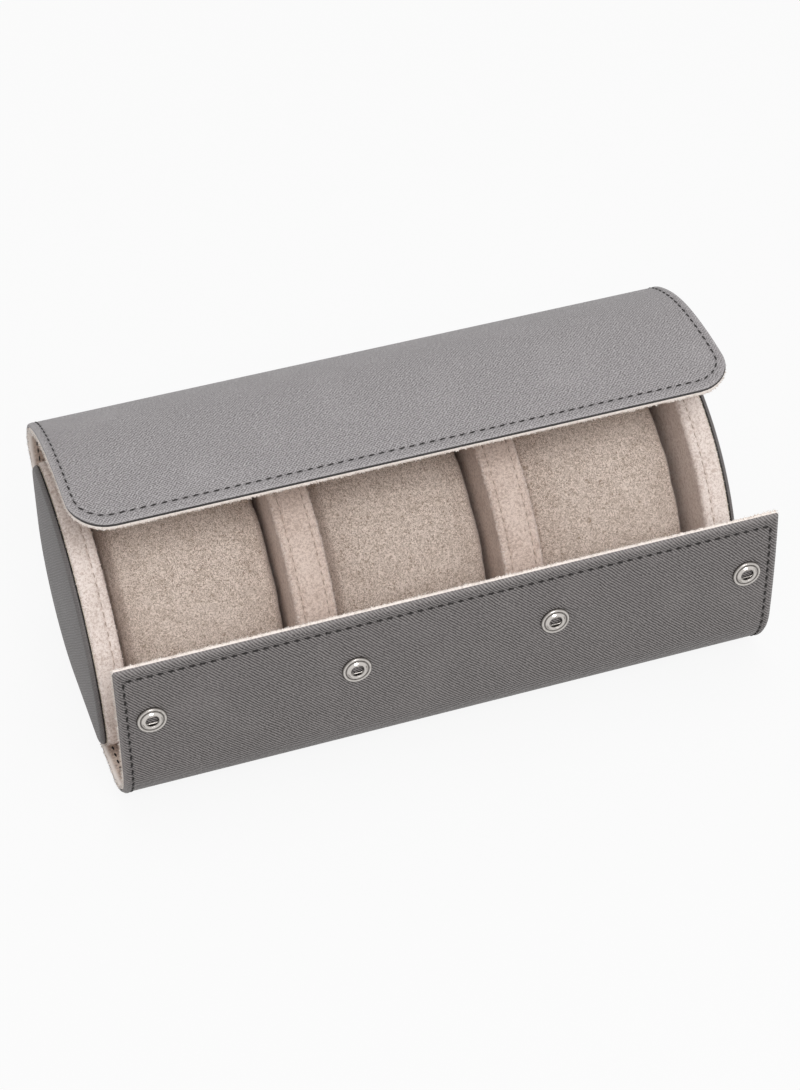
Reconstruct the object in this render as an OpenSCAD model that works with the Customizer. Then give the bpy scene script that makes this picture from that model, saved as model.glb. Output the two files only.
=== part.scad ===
// Travel case for three watches: a leather wrap on a padded body, with a lid, a front flap,
// four press studs and three loose pillows. X runs along the case, the front faces -Y, and the
// case stands on z = 0. It is drawn open, as it stands on a table with the flap upright.
//
// The wrap is one bent sheet, so its section is a walk along the sheet: each run is
// [length, turn in degrees], and a positive turn bends to the left of the way walked.

/* [Body] */
// Length of the leather wrap
case_len = 210; // [150:1:280]
// Radius of the body's front, from its crown to its nose
crown_r = 63; // [59:0.5:66]
// Height of the crown's centre above the wrap's lining
crown_rise = 0.9; // [0:0.1:2]
// Part of a turn that the front takes, in degrees
crown_turn = 77; // [70:1:80]
// Distance from the crown's centre to the body's rear
rear_depth = 11; // [9:0.5:13]
// Radius of the body's rear edge at the bottom
rear_bottom_r = 37; // [30:1:40]
// Radius of the body's rear edge at the top
rear_top_r = 8.5; // [5:0.5:11]
// Thickness of an end wall
end_wall_t = 8.7; // [6:0.1:12]
// Thickness of a divider
divider_t = 13; // [8:0.5:16]
// Thickness of the suede covers
suede_t = 0.8; // [0.5:0.1:1.2]

/* [Wrap] */
// Thickness of the grained leather
leather_t = 1.1; // [0.8:0.1:1.5]
// Thickness of the padded suede lining
lining_t = 1.5; // [1.3:0.1:2]
// Thickness of the boards between leather and lining
board_t = 0.7; // [0.4:0.1:0.9]
// Width of the border that holds the thread, with no board in it
border = 6; // [4:0.5:9]

/* [Lid] */
// Height of the lid's fold above the table
fold_z = 50; // [46:0.5:54]
// Length of the fold at the rear
rear_fold_len = 8.6; // [7:0.1:11]
// Outward bend of the fold when the case is open
rear_fold_turn = 34; // [26:1:40]
// Length of the lid's tight rear bend
lid_rear_len = 21.5; // [19:0.5:24]
// Length of the lid's top
lid_top_len = 27.5; // [24:0.5:32]
// Length of the lid's front
lid_front_len = 36.2; // [33:0.1:42]
// Radius of the lid's two free corners
lid_corner_r = 13; // [6:0.5:18]
// Angle that shuts the open lid
lid_close = 31.2; // [29:0.1:33]

/* [Flap] */
// Length of the fold under the front
front_fold_len = 8; // [6:0.5:10]
// Rise of the fold off the table when the flap is open
front_fold_turn = 4; // [3:1:6]
// Length of the flap's foot between the fold and its bend
flap_foot_len = 4.9; // [3:0.1:7]
// Radius of the flap's bend from its foot to upright
flap_bend_r = 19.6; // [18:0.1:23]
// Length of the flap above the bend
flap_len = 41.4; // [38:0.1:44]
// Lean of the flap's free edge towards the body
flap_lean = 6; // [2:1:8]
// Angle that shuts the open flap
flap_close = 46.3; // [43:0.1:47]

/* [Press studs] */
// Number of press studs
studs = 4; // [2:1:6]
// Distance of the outer studs from the ends of the wrap
stud_inset = 10; // [8:0.5:16]
// Distance of the studs from the flap's free edge
stud_drop = 20.5; // [16:0.5:26]
// Diameter of a socket
socket_d = 9.3; // [8.5:0.1:11]
// Height that a socket stands proud of the leather
socket_h = 1.3; // [1.2:0.05:1.6]
// Diameter of the mouth of a socket
mouth_d = 4; // [3.8:0.1:4.4]
// Diameter of the spring wire
wire_d = 0.44; // [0.3:0.02:0.5]

/* [Pillows] */
// Depth of a pillow's front behind the dividers' fronts
pillow_recess = 8; // [5:0.5:12]
// Gap between a pillow and the walls of its pocket
pillow_gap = 1.6; // [1:0.1:3]
// Swell of a pillow between its ends
pillow_swell = 3.5; // [1:0.5:5]

/* [End caps] */
// Thickness of an end cap
cap_t = 2.5; // [2:0.1:3.5]
// Thickness of the board in an end cap
cap_board_t = 1; // [0.6:0.1:1.2]
// Distance of an end cap's edge inside the end wall's edge
cap_inset = 0.6; // [0.4:0.1:1.5]

/* [Hidden] */

LEATHER = [0.52, 0.51, 0.51];
SUEDE = [0.83, 0.75, 0.68];
PILLOW = [0.77, 0.69, 0.61];
BOARD = [0.45, 0.38, 0.3];
FOAM = [0.92, 0.91, 0.86];
NICKEL = [0.78, 0.77, 0.75];
STEEL = [0.6, 0.6, 0.6];

// Turn of a bend between two of its stations, on the sheet and on the padded forms
station_turn = 5;
padded_turn = 10;
// Length of the longest step between two stations of a bend
station_len = 6.5;
// Number of watch pockets, which the names of the dividers and pillows follow
pockets = 3;
// Distance of a board from a fold
board_gap = 2;
// Depth of a board's outer face, and of the room cut for it out of the lining: their bends are
// drawn with stations of their own, so the board stays clear of the leather
board_outer = leather_t + 0.04;
board_room = leather_t - 0.5;
// Seam between a fold and the pieces that turn about it
seam = 0.05;
// Play between metal parts and the layers that they pass through
play = 0.05;
// Smoothness of round metal parts
$fn = 48;

sheet_t = leather_t + lining_t;

// ---- Walks along a bent sheet: a pose is [y, z, heading] ----

function pose_at(pose, run, share) =
  let (len = run[0] * share, turn = run[1] * share, h = pose[2])
  abs(run[1]) < 0.01
    ? [pose[0] + len * cos(h), pose[1] + len * sin(h), h]
    : let (r = run[0] / run[1] * 180 / PI)
      [pose[0] + r * (sin(h + turn) - sin(h)), pose[1] - r * (cos(h + turn) - cos(h)), h + turn];

function pose_after(pose, runs, i = 0) =
  i >= len(runs) ? pose : pose_after(pose_at(pose, runs[i], 1), runs, i + 1);

function walk(pose, runs, max_turn = station_turn, i = 0) =
  i >= len(runs) ? [pose] :
  let (steps = abs(runs[i][1]) < 0.01 ? 1
         : max(ceil(abs(runs[i][1]) / max_turn), ceil(runs[i][0] / station_len)))
  concat([for (k = [0:steps - 1]) pose_at(pose, runs[i], k / steps)],
         walk(pose_at(pose, runs[i], 1), runs, max_turn, i + 1));

// A bend of a radius through an angle, as a run
function bend(r, turn) = [r * abs(turn) * PI / 180, turn];

// The points that lie a depth to the left of each pose
function layer(poses, depth) =
  [for (p = poses) [p[0] - depth * sin(p[2]), p[1] + depth * cos(p[2])]];

function backwards(list) = [for (i = [len(list) - 1:-1:0]) list[i]];

// A pose turned about a point
function turned(pose, centre, angle) =
  let (y = pose[0] - centre[0], z = pose[1] - centre[1])
  [centre[0] + y * cos(angle) - z * sin(angle), centre[1] + y * sin(angle) + z * cos(angle),
   pose[2] + angle];

// ---- The body's section. y = 0 is the crown's centre until the last lines move it ----

crown_z = sheet_t + crown_rise;
// The short run under the front arc, before the nose
low_run = [6, 8];
nose_start = pose_after([0, crown_z + crown_r, 180], [bend(crown_r, crown_turn), low_run]);
nose_turn = 180 - crown_turn - low_run[1];
nose_r = (nose_start[1] - sheet_t) / (1 - cos(nose_turn));
body_front = pose_after(nose_start, [bend(nose_r, nose_turn)])[0];
bottom_end = rear_depth - rear_bottom_r;
rear_end = fold_z;

// All round a wall, from the start of its rear bend to the foot of its nose
body_runs = [
  bend(rear_bottom_r, 90), [crown_z + crown_r - rear_top_r - sheet_t - rear_bottom_r, 0],
  bend(rear_top_r, 90), [rear_depth - rear_top_r, 0],
  bend(crown_r, crown_turn), low_run, bend(nose_r, nose_turn)];

// What shows of a wall: up from the wrap's end, over the top and down the front to its nose
function wall_face() = walk([rear_depth, rear_end, 90], [
  [crown_z + crown_r - rear_top_r - rear_end, 0], bend(rear_top_r, 90),
  [rear_depth - rear_top_r, 0], bend(crown_r, crown_turn), low_run, bend(nose_r, nose_turn)]);

// What the wrap holds of a wall: along the bottom and up the rear, on the lining
function wall_seat() = walk([bottom_end, sheet_t, 0], [
  bend(rear_bottom_r, 90), [rear_end - sheet_t - rear_bottom_r, 0]]);

// The outline of a wall, with the part that shows and the part that is held each drawn in
function wall_outline(face_inset = 0, seat_inset = 0) =
  concat(layer(wall_face(), face_inset), layer(wall_seat(), seat_inset));

// ---- The wrap's walk, on its outer face ----

// The wrap is fixed to the body from a little way in front of the nose to the rear fold
nose_margin = 2.1;
wrap_front = body_front - nose_margin;
base_poses = walk([wrap_front, 0, 0], [
  [bottom_end - wrap_front, 0], bend(rear_bottom_r + sheet_t, 90),
  [rear_end - rear_bottom_r - sheet_t, 0]]);

rear_fold_start = [rear_depth + sheet_t, rear_end, 90];
rear_fold_run = [rear_fold_len, -rear_fold_turn];
rear_fold_poses = walk(rear_fold_start, [rear_fold_run]);
lid_start = pose_at(rear_fold_start, rear_fold_run, 1);
// The lid bends most at the rear, and less and less to its free edge
lid_rear_turn = 91;
lid_top_turn = 25.8;
lid_front_turn = 17.4;
lid_runs = [[lid_rear_len, lid_rear_turn], [lid_top_len, lid_top_turn], [lid_front_len, lid_front_turn]];
lid_poses = walk(lid_start, lid_runs);

// The flap is walked from the body forwards, so the body lies on its right
front_fold_start = [wrap_front, 0, 180];
front_fold_run = [front_fold_len, -front_fold_turn];
front_fold_poses = walk(front_fold_start, [front_fold_run]);
flap_start = pose_at(front_fold_start, front_fold_run, 1);
flap_runs = [[flap_foot_len, 0], bend(flap_bend_r, front_fold_turn - 90), [flap_len, -flap_lean]];
flap_poses = walk(flap_start, flap_runs);

// ---- The two folds, where the wrap bends: each axis lies in the middle of the sheet ----

function mid_sheet(pose, depth) = [pose[0] - depth * sin(pose[2]), pose[1] + depth * cos(pose[2])];
lid_axis = mid_sheet(pose_at(rear_fold_start, rear_fold_run, 0.5), sheet_t / 2);
flap_axis = mid_sheet(pose_at(front_fold_start, front_fold_run, 0.5), -sheet_t / 2);

// ---- The press studs. A stud's place on the lid follows from the socket it shuts into ----

flap_bend_end = pose_after(flap_start, [flap_runs[0], flap_runs[1]]);
socket_pose = pose_at(flap_bend_end, flap_runs[2], 1 - stud_drop / flap_len);
shut_socket = turned(socket_pose, flap_axis, -flap_close);
stud_pose = turned(shut_socket, lid_axis, -lid_close);
// Distance from the shut flap's leather to the lid's lining, along the stud
stud_gap = lookup(0, [for (p = layer(lid_poses, sheet_t))
  let (y = p[0] - stud_pose[0], z = p[1] - stud_pose[1])
  [y * cos(stud_pose[2]) + z * sin(stud_pose[2]), -y * sin(stud_pose[2]) + z * cos(stud_pose[2])]]);
stud_x = [for (i = [0:studs - 1])
  -case_len / 2 + stud_inset + i * (case_len - 2 * stud_inset) / (studs - 1)];
mouth_r = mouth_d / 2;
socket_r = socket_d / 2;
// The chamber in a socket that holds the spring
chamber_r = socket_r - 1.3;
chamber_h = socket_h - 0.55;
lip_t = 0.15;
eyelet_wall = 0.5;
eyelet_r = mouth_r + eyelet_wall;
eyelet_cap_r = socket_r - 0.4;
// Depth of an eyelet's cap behind the leather
eyelet_cap_t = board_t + 0.1;
// Space over an eyelet's cap, because the leather bends and the cap is flat
cap_gap = 0.2;
neck_r = 1.1;
bulb_r = 1.5;
bulb_len = 1;
flange_r = 3.4;
flange_t = 0.6;
flange_sink = 0.3;
rivet_head_r = 3.5;
rivet_head_t = 0.4;
rivet_shank_r = 1;

// ---- Places along the case ----

half_len = case_len / 2;
cap_x = half_len - 0.8;
inner_x = cap_x - end_wall_t;
pocket_w = (2 * inner_x - (pockets - 1) * divider_t) / pockets;
function divider_x(i) = -inner_x + (i + 1) * pocket_w + i * divider_t;
function pocket_x(i) = -inner_x + (i + 0.5) * pocket_w + i * divider_t;

// The case is centred between the sockets' front and the lid's rear
socket_face = layer([socket_pose], socket_h)[0][0] - socket_r * abs(cos(socket_pose[2]));
case_shift = -(min(socket_face, min([for (p = flap_poses) p[0]])) + max([for (p = lid_poses) p[0]])) / 2;

// ---- Helpers ----

// A section drawn in [y, z], drawn out along X from x0 to x1
module along_case(x0, x1) {
  translate([x0, case_shift, 0])
    rotate([90, 0, 90])
      linear_extrude(x1 - x0)
        children();
}

// The section of a layer of the sheet, between two depths
module band(poses, outer, inner) {
  polygon(concat(layer(poses, outer), backwards(layer(poses, inner))));
}

// A part of a walk between two distances from its start and its end
function part_of(pose, runs, from_start, from_end) =
  let (first = runs[0], last = runs[len(runs) - 1])
  len(runs) == 1
    ? walk(pose_at(pose, first, from_start / first[0]),
           [first * (1 - (from_start + from_end) / first[0])])
    : walk(pose_at(pose, first, from_start / first[0]),
           [for (i = [0:len(runs) - 1])
             i == 0 ? first * (1 - from_start / first[0]) :
             i == len(runs) - 1 ? last * (1 - from_end / last[0]) : runs[i]]);

// Children stand on the sheet at a pose, with +Z out of its left side, once for each stud
module at_studs(pose) {
  for (x = stud_x)
    translate([x, pose[0] + case_shift, pose[1]])
      rotate([pose[2], 0, 0])
        children();
}

// What is cut away to round the lid's free corners
module lid_corner_cuts(inset = 0) {
  edge = lid_poses[len(lid_poses) - 1];
  r = lid_corner_r - inset;
  for (side = [-1, 1])
    translate([side * (half_len - inset - r), edge[0] + case_shift + inset + r, edge[1] - 30])
      linear_extrude(60)
        scale([side, 1])
          difference() {
            translate([0, -2 * r])
              square(2 * r);
            circle(r);
          }
}

// ---- The wrap's fixed part ----

module base_leather() {
  color(LEATHER)
    along_case(-half_len, half_len)
      band(base_poses, 0, leather_t);
}

// Where the two boards of the base lie: on the flat bottom, and round the rear up to the fold
bottom_board_poses = walk([wrap_front + border, 0, 0], [[bottom_end - wrap_front - 2 * border, 0]]);
rear_board_poses = part_of([bottom_end, 0, 0], [
  bend(rear_bottom_r + sheet_t, 90), [rear_end - rear_bottom_r - sheet_t, 0]], border, board_gap);

module base_lining() {
  color(SUEDE)
    difference() {
      along_case(-half_len, half_len)
        band(base_poses, leather_t, sheet_t);
      board_form(bottom_board_poses, board_room);
      board_form(rear_board_poses, board_room);
    }
}

// A board between the borders, from a depth to its inner face; on a flap the sheet lies on the right
module board_form(poses, outer, side = 1) {
  along_case(-half_len + border, half_len - border)
    band(poses, side * outer, side * (leather_t + board_t));
}

module base_board(poses) { color(BOARD) board_form(poses, board_outer); }

module bottom_board() { base_board(bottom_board_poses); }
module rear_board() { base_board(rear_board_poses); }

// ---- The folds: leather and lining alone, between the boards ----

module fold_layer(start, run, outer, inner) {
  poses = part_of(start, [run], seam, seam);
  along_case(-half_len, half_len)
    band(poses, outer, inner);
}

module rear_fold_leather() { color(LEATHER) fold_layer(rear_fold_start, rear_fold_run, 0, leather_t); }
module rear_fold_lining() { color(SUEDE) fold_layer(rear_fold_start, rear_fold_run, leather_t, sheet_t); }
module front_fold_leather() { color(LEATHER) fold_layer(front_fold_start, front_fold_run, 0, -leather_t); }
module front_fold_lining() { color(SUEDE) fold_layer(front_fold_start, front_fold_run, -leather_t, -sheet_t); }

// ---- End walls and dividers: a suede cover over a core ----

module wall_cover(x0, x1, open_low, open_high) {
  color(SUEDE)
    difference() {
      along_case(x0, x1)
        polygon(wall_outline());
      along_case(x0 + (open_low ? -1 : suede_t), x1 - (open_high ? -1 : suede_t))
        polygon(concat(layer(wall_face(), suede_t), layer(wall_seat(), -1)));
    }
}

module wall_core(x0, x1, open_low, open_high) {
  color(FOAM)
    along_case(x0 + (open_low ? 0 : suede_t), x1 - (open_high ? 0 : suede_t))
      intersection() {
        polygon(wall_outline());
        polygon(concat(layer(wall_face(), suede_t), layer(wall_seat(), -1)));
      }
}

module end_wall_left_cover() { wall_cover(-cap_x, -inner_x, true, false); }
module end_wall_left_core() { wall_core(-cap_x, -inner_x, true, false); }
module end_wall_right_cover() { wall_cover(inner_x, cap_x, false, true); }
module end_wall_right_core() { wall_core(inner_x, cap_x, false, true); }
module divider_left_cover() { wall_cover(divider_x(0), divider_x(0) + divider_t, false, false); }
module divider_left_core() { wall_core(divider_x(0), divider_x(0) + divider_t, false, false); }
module divider_right_cover() { wall_cover(divider_x(1), divider_x(1) + divider_t, false, false); }
module divider_right_core() { wall_core(divider_x(1), divider_x(1) + divider_t, false, false); }

// ---- End caps: leather drawn over a board, padded to a rounded rim ----

cap_rim = 1.6;
cap_swell = 0.6;
cap_outline = walk([bottom_end, sheet_t, 0], body_runs, padded_turn);

// A form through rings across X: ring i lies at xs[i], with the outline drawn in by insets[i].
// Its first and last rings are closed with flat ends, or joined to each other in a sleeve.
module through_rings(outline, xs, insets, sleeve = false) {
  n = len(outline);
  rings = len(xs);
  points = [for (i = [0:rings - 1]) for (p = layer(outline, insets[i])) [xs[i], p[0] + case_shift, p[1]]];
  ends = sleeve ? [] : [[for (k = [n - 1:-1:0]) k], [for (k = [0:n - 1]) (rings - 1) * n + k]];
  polyhedron(points, concat(ends,
    [for (i = [0:rings - (sleeve ? 1 : 2)]) for (k = [0:n - 1])
      let (a = i * n, b = (i + 1) % rings * n, next = (k + 1) % n) [a + k, a + next, b + next, b + k]]));
}

// A cap's leather: from the board's pocket round the rounded rim to a face that swells
module cap_skin() {
  steps = 4;
  angles = [for (i = [0:steps]) 90 * i / steps];
  pocket = cap_inset + leather_t;
  through_rings(cap_outline,
    concat([cap_board_t, 0, 0], [for (a = angles) cap_t - cap_swell - cap_rim + cap_rim * sin(a)], [cap_t]),
    concat([pocket, pocket, cap_inset], [for (a = angles) cap_inset + cap_rim * (1 - cos(a))],
           [cap_inset + cap_rim + 5]));
}

module on_end(side) {
  translate([side * cap_x, 0, 0])
    mirror([side < 0 ? 1 : 0, 0, 0])
      children();
}

module end_cap_leather(side) {
  color(LEATHER)
    on_end(side)
      cap_skin();
}

module end_cap_board(side) {
  color(BOARD)
    on_end(side)
      along_case(0, cap_board_t)
        polygon(layer(cap_outline, cap_inset + leather_t));
}

module end_cap_left_leather() { end_cap_leather(-1); }
module end_cap_left_board() { end_cap_board(-1); }
module end_cap_right_leather() { end_cap_leather(1); }
module end_cap_right_board() { end_cap_board(1); }

// ---- The lid ----

module lid_leather() {
  color(LEATHER)
    difference() {
      along_case(-half_len, half_len)
        band(lid_poses, 0, leather_t);
      lid_corner_cuts();
    }
}

module lid_board_form(outer) {
  difference() {
    board_form(part_of(lid_start, lid_runs, board_gap, border), outer);
    lid_corner_cuts(border);
  }
}

module lid_board() {
  color(BOARD)
    difference() {
      lid_board_form(board_outer);
      at_studs(stud_pose)
        cylinder(r = rivet_head_r + play, h = stud_gap + sheet_t);
    }
}

module lid_lining() {
  color(SUEDE)
    difference() {
      along_case(-half_len, half_len)
        band(lid_poses, leather_t, sheet_t);
      lid_corner_cuts();
      lid_board_form(board_room);
      at_studs(stud_pose) {
        cylinder(r = flange_r + play, h = stud_gap + flange_sink);
        cylinder(r = rivet_shank_r + play, h = stud_gap + sheet_t);
        translate([0, 0, stud_gap + lining_t - board_t])
          cylinder(r = rivet_head_r + play, h = board_t + 1);
      }
    }
}

module lid_studs() {
  color(NICKEL)
    at_studs(stud_pose) {
      flange_z = stud_gap - flange_t;
      translate([0, 0, flange_z])
        cylinder(r = flange_r, h = flange_t + flange_sink);
      rotate_extrude()
        polygon([[0, -bulb_len + 0.1], [bulb_r * 0.7, -bulb_len + 0.1], [bulb_r, -bulb_len + 0.5],
                 [bulb_r, -0.3], [neck_r, 0.1], [neck_r, flange_z], [0, flange_z]]);
    }
}

// A rivet's head fills the board's hole under the leather, and its shank meets the stud
module lid_stud_rivets() {
  color(STEEL)
    at_studs(stud_pose) {
      shank_z = stud_gap + flange_sink;
      head_z = stud_gap + lining_t - board_t;
      translate([0, 0, shank_z])
        cylinder(r = rivet_shank_r, h = head_z - shank_z + 0.1);
      translate([0, 0, head_z])
        cylinder(r = rivet_head_r, h = rivet_head_t);
    }
}

// ---- The flap ----

module flap_leather() {
  color(LEATHER)
    difference() {
      along_case(-half_len, half_len)
        band(flap_poses, 0, -leather_t);
      at_studs(socket_pose)
        translate([0, 0, -leather_t - 1])
          cylinder(r = eyelet_r + play, h = leather_t + 2);
    }
}

flap_board_poses = part_of(flap_start, flap_runs, board_gap, border);

module eyelet_room() {
  at_studs(socket_pose)
    translate([0, 0, -leather_t - eyelet_cap_t])
      cylinder(r = eyelet_cap_r + play, h = eyelet_cap_t + 0.5);
}

module flap_board() {
  color(BOARD)
    difference() {
      board_form(flap_board_poses, board_outer, -1);
      eyelet_room();
    }
}

module flap_lining() {
  color(SUEDE)
    difference() {
      along_case(-half_len, half_len)
        band(flap_poses, -leather_t, -sheet_t);
      board_form(flap_board_poses, board_room, -1);
      eyelet_room();
    }
}

// The socket's section: a seat on the leather, two raised rims and the mouth over the chamber
module flap_sockets() {
  color(NICKEL)
    at_studs(socket_pose)
      rotate_extrude()
        polygon([
          [chamber_r, 0.02], [socket_r, 0.02], [socket_r, socket_h - 0.8], [socket_r - 0.3, socket_h - 0.42],
          [socket_r - 0.65, socket_h - 0.38], [socket_r - 0.95, socket_h - 0.52],
          [mouth_r + 1.1, socket_h - 0.45], [mouth_r + 0.75, socket_h - 0.05], [mouth_r + 0.5, socket_h],
          [mouth_r + 0.25, socket_h - 0.05], [mouth_r, socket_h - 0.25], [mouth_r, chamber_h],
          [chamber_r, chamber_h]]);
}

// The wire spring: two bars that grip a stud's neck, joined by bends round the chamber
module flap_socket_springs() {
  wire_r = wire_d / 2;
  bar_y = neck_r + wire_r + 0.04;
  bar_len = 2 * sqrt(pow(chamber_r - wire_r - play, 2) - pow(bar_y + wire_r, 2)) - 2 * wire_r;
  color(STEEL)
    at_studs(socket_pose)
      translate([0, 0, (lip_t + chamber_h) / 2])
        intersection() {
          union() {
            for (side = [-1, 1])
              translate([0, side * bar_y, 0])
                rotate([0, 90, 0])
                  cylinder(r = wire_r, h = bar_len, center = true);
            for (end = [0, 180])
              rotate([0, 0, end])
                translate([bar_len / 2 - bar_y, 0, 0])
                  rotate([0, 0, -90])
                    rotate_extrude(angle = 180)
                      translate([bar_y, 0])
                        circle(wire_r);
          }
          cylinder(r = chamber_r - play, h = 2, center = true);
        }
}

// An eyelet holds the socket: a lip in the chamber, a tube through the leather and a cap behind
module flap_eyelets() {
  color(NICKEL)
    at_studs(socket_pose)
      rotate_extrude()
        polygon([
          [0, -leather_t - eyelet_cap_t + play], [eyelet_cap_r, -leather_t - eyelet_cap_t + play],
          [eyelet_cap_r, -leather_t - cap_gap], [eyelet_r, -leather_t - cap_gap], [eyelet_r, 0.02],
          [chamber_r - play, 0.02], [chamber_r - play, lip_t], [mouth_r + play, lip_t],
          [mouth_r + play, -leather_t], [0, -leather_t]]);
}

// ---- Pillows ----

pillow_w = pocket_w - 2 * pillow_gap;
pillow_crown_r = crown_r - pillow_recess;
pillow_turn = 66;
pillow_corner_r = 9.5;
pillow_floor = sheet_t + 0.6;
pillow_rear = rear_depth - 0.8;
pillow_nose_start = pose_after([0, crown_z + pillow_crown_r, 180], [bend(pillow_crown_r, pillow_turn)]);
pillow_nose_turn = 180 - pillow_turn;
pillow_nose_r = min(13, (pillow_nose_start[1] - pillow_floor) / (1 - cos(pillow_nose_turn)));
// The front runs straight from the arc to the nose
pillow_front_len = (pillow_nose_start[1] - pillow_floor - pillow_nose_r * (1 - cos(pillow_nose_turn)))
  / sin(pillow_nose_turn);
pillow_nose_end = pose_after(pillow_nose_start,
  [[pillow_front_len, 0], bend(pillow_nose_r, pillow_nose_turn)]);
pillow_bottom_r = rear_bottom_r - 0.8;
pillow_outline = walk([pillow_rear - pillow_bottom_r, pillow_floor, 0], [
  bend(pillow_bottom_r, 90),
  [crown_z + pillow_crown_r - pillow_corner_r - pillow_floor - pillow_bottom_r, 0],
  bend(pillow_corner_r, 90), [pillow_rear - pillow_corner_r, 0],
  bend(pillow_crown_r, pillow_turn), [pillow_front_len, 0], bend(pillow_nose_r, pillow_nose_turn)],
  padded_turn);
pillow_rings = 3;
pillow_shares = [for (i = [-pillow_rings:pillow_rings]) sin(90 * i / pillow_rings)];

// Inset of a pillow's outline at a share of the way from its middle (0) to its end (1)
function pillow_draw(share) = pillow_swell * (1 - sqrt(1 - pow(share, 4)));

pillow_xs = [for (s = pillow_shares) s * pillow_w / 2];
pillow_draws = [for (s = pillow_shares) pillow_draw(abs(s))];
pillow_end_inset = pillow_draw(1) + suede_t;

// The cover is a sleeve round the foam, and a panel is sewn into each of its ends
module pillow_cover(i) {
  color(PILLOW)
    translate([pocket_x(i), 0, 0])
      through_rings(pillow_outline, concat(pillow_xs, backwards(pillow_xs)),
        concat(pillow_draws, backwards([for (d = pillow_draws) d + suede_t])), sleeve = true);
}

module pillow_end_panels(i) {
  color(PILLOW)
    translate([pocket_x(i), 0, 0])
      for (x0 = [-pillow_w / 2, pillow_w / 2 - suede_t])
        along_case(x0, x0 + suede_t)
          polygon(layer(pillow_outline, pillow_end_inset));
}

// The foam fills the sleeve between the panels
module pillow_foam(i) {
  half_w = pillow_w / 2 - suede_t;
  color(FOAM)
    translate([pocket_x(i), 0, 0])
      through_rings(pillow_outline, [for (x = pillow_xs) min(max(x, -half_w), half_w)],
        [for (d = pillow_draws) d + suede_t]);
}

module pillow_left_cover() { pillow_cover(0); }
module pillow_left_end_panels() { pillow_end_panels(0); }
module pillow_left_foam() { pillow_foam(0); }
module pillow_middle_cover() { pillow_cover(1); }
module pillow_middle_end_panels() { pillow_end_panels(1); }
module pillow_middle_foam() { pillow_foam(1); }
module pillow_right_cover() { pillow_cover(2); }
module pillow_right_end_panels() { pillow_end_panels(2); }
module pillow_right_foam() { pillow_foam(2); }

base_leather();
base_lining();
bottom_board();
rear_board();
end_wall_left_cover();
end_wall_left_core();
end_wall_right_cover();
end_wall_right_core();
end_cap_left_leather();
end_cap_left_board();
end_cap_right_leather();
end_cap_right_board();
divider_left_cover();
divider_left_core();
divider_right_cover();
divider_right_core();
rear_fold_leather();
rear_fold_lining();
front_fold_leather();
front_fold_lining();
lid_leather();
lid_board();
lid_lining();
lid_studs();
lid_stud_rivets();
flap_leather();
flap_board();
flap_lining();
flap_sockets();
flap_socket_springs();
flap_eyelets();
pillow_left_cover();
pillow_left_end_panels();
pillow_left_foam();
pillow_middle_cover();
pillow_middle_end_panels();
pillow_middle_foam();
pillow_right_cover();
pillow_right_end_panels();
pillow_right_foam();
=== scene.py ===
import math

import bmesh
import bpy
import numpy as np
from mathutils import Matrix, Vector


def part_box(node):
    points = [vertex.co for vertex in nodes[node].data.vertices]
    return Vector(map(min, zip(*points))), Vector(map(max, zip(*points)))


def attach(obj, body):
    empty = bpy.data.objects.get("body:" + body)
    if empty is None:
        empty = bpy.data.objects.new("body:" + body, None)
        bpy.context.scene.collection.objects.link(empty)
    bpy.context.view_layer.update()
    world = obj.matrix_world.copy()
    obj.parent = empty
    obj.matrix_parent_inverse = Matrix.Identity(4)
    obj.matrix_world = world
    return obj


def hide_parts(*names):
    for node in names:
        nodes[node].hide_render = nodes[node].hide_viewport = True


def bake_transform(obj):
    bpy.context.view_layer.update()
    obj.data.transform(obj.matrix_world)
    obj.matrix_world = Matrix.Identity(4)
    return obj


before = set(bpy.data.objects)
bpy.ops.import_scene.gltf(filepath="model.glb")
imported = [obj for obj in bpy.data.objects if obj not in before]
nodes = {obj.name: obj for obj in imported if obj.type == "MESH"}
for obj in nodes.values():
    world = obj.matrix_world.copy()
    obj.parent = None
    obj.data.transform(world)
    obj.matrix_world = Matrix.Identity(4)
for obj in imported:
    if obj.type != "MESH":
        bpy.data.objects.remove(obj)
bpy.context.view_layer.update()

# ---- The view ----
# The case stands open on a white table, seen from above its front left corner. The camera was
# solved from the long straight edges of the lid and of the flap.


def in_scene(name, data):
    """An object of this data, put in the scene"""
    thing = bpy.data.objects.new(name, data)
    bpy.context.scene.collection.objects.link(thing)
    return thing


image_size = (800, 1090)
focal_px = 2851.3
yaw, pitch = math.radians(18.908), math.radians(43.564)
ahead = Vector((math.sin(yaw) * math.cos(pitch), math.cos(yaw) * math.cos(pitch), -math.sin(pitch)))
right = Vector((math.cos(yaw), -math.sin(yaw), 0))
above = right.cross(ahead)
camera = in_scene("camera", bpy.data.cameras.new("camera"))
camera.matrix_world = Matrix((right, above, -ahead)).transposed().to_4x4()
camera.location = (-0.21103, -0.61522, 0.65431)
camera.data.lens = focal_px / max(image_size) * camera.data.sensor_width
camera.data.clip_start = 0.01
bpy.context.scene.camera = camera
bpy.context.scene.view_settings.view_transform = "Standard"

# ---- The materials' tool ----
# A Tone is a socket of a material's node tree, and arithmetic on tones adds Math nodes. So a
# leather's or suede's shade is written as a sum of noises and lines.


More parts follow.
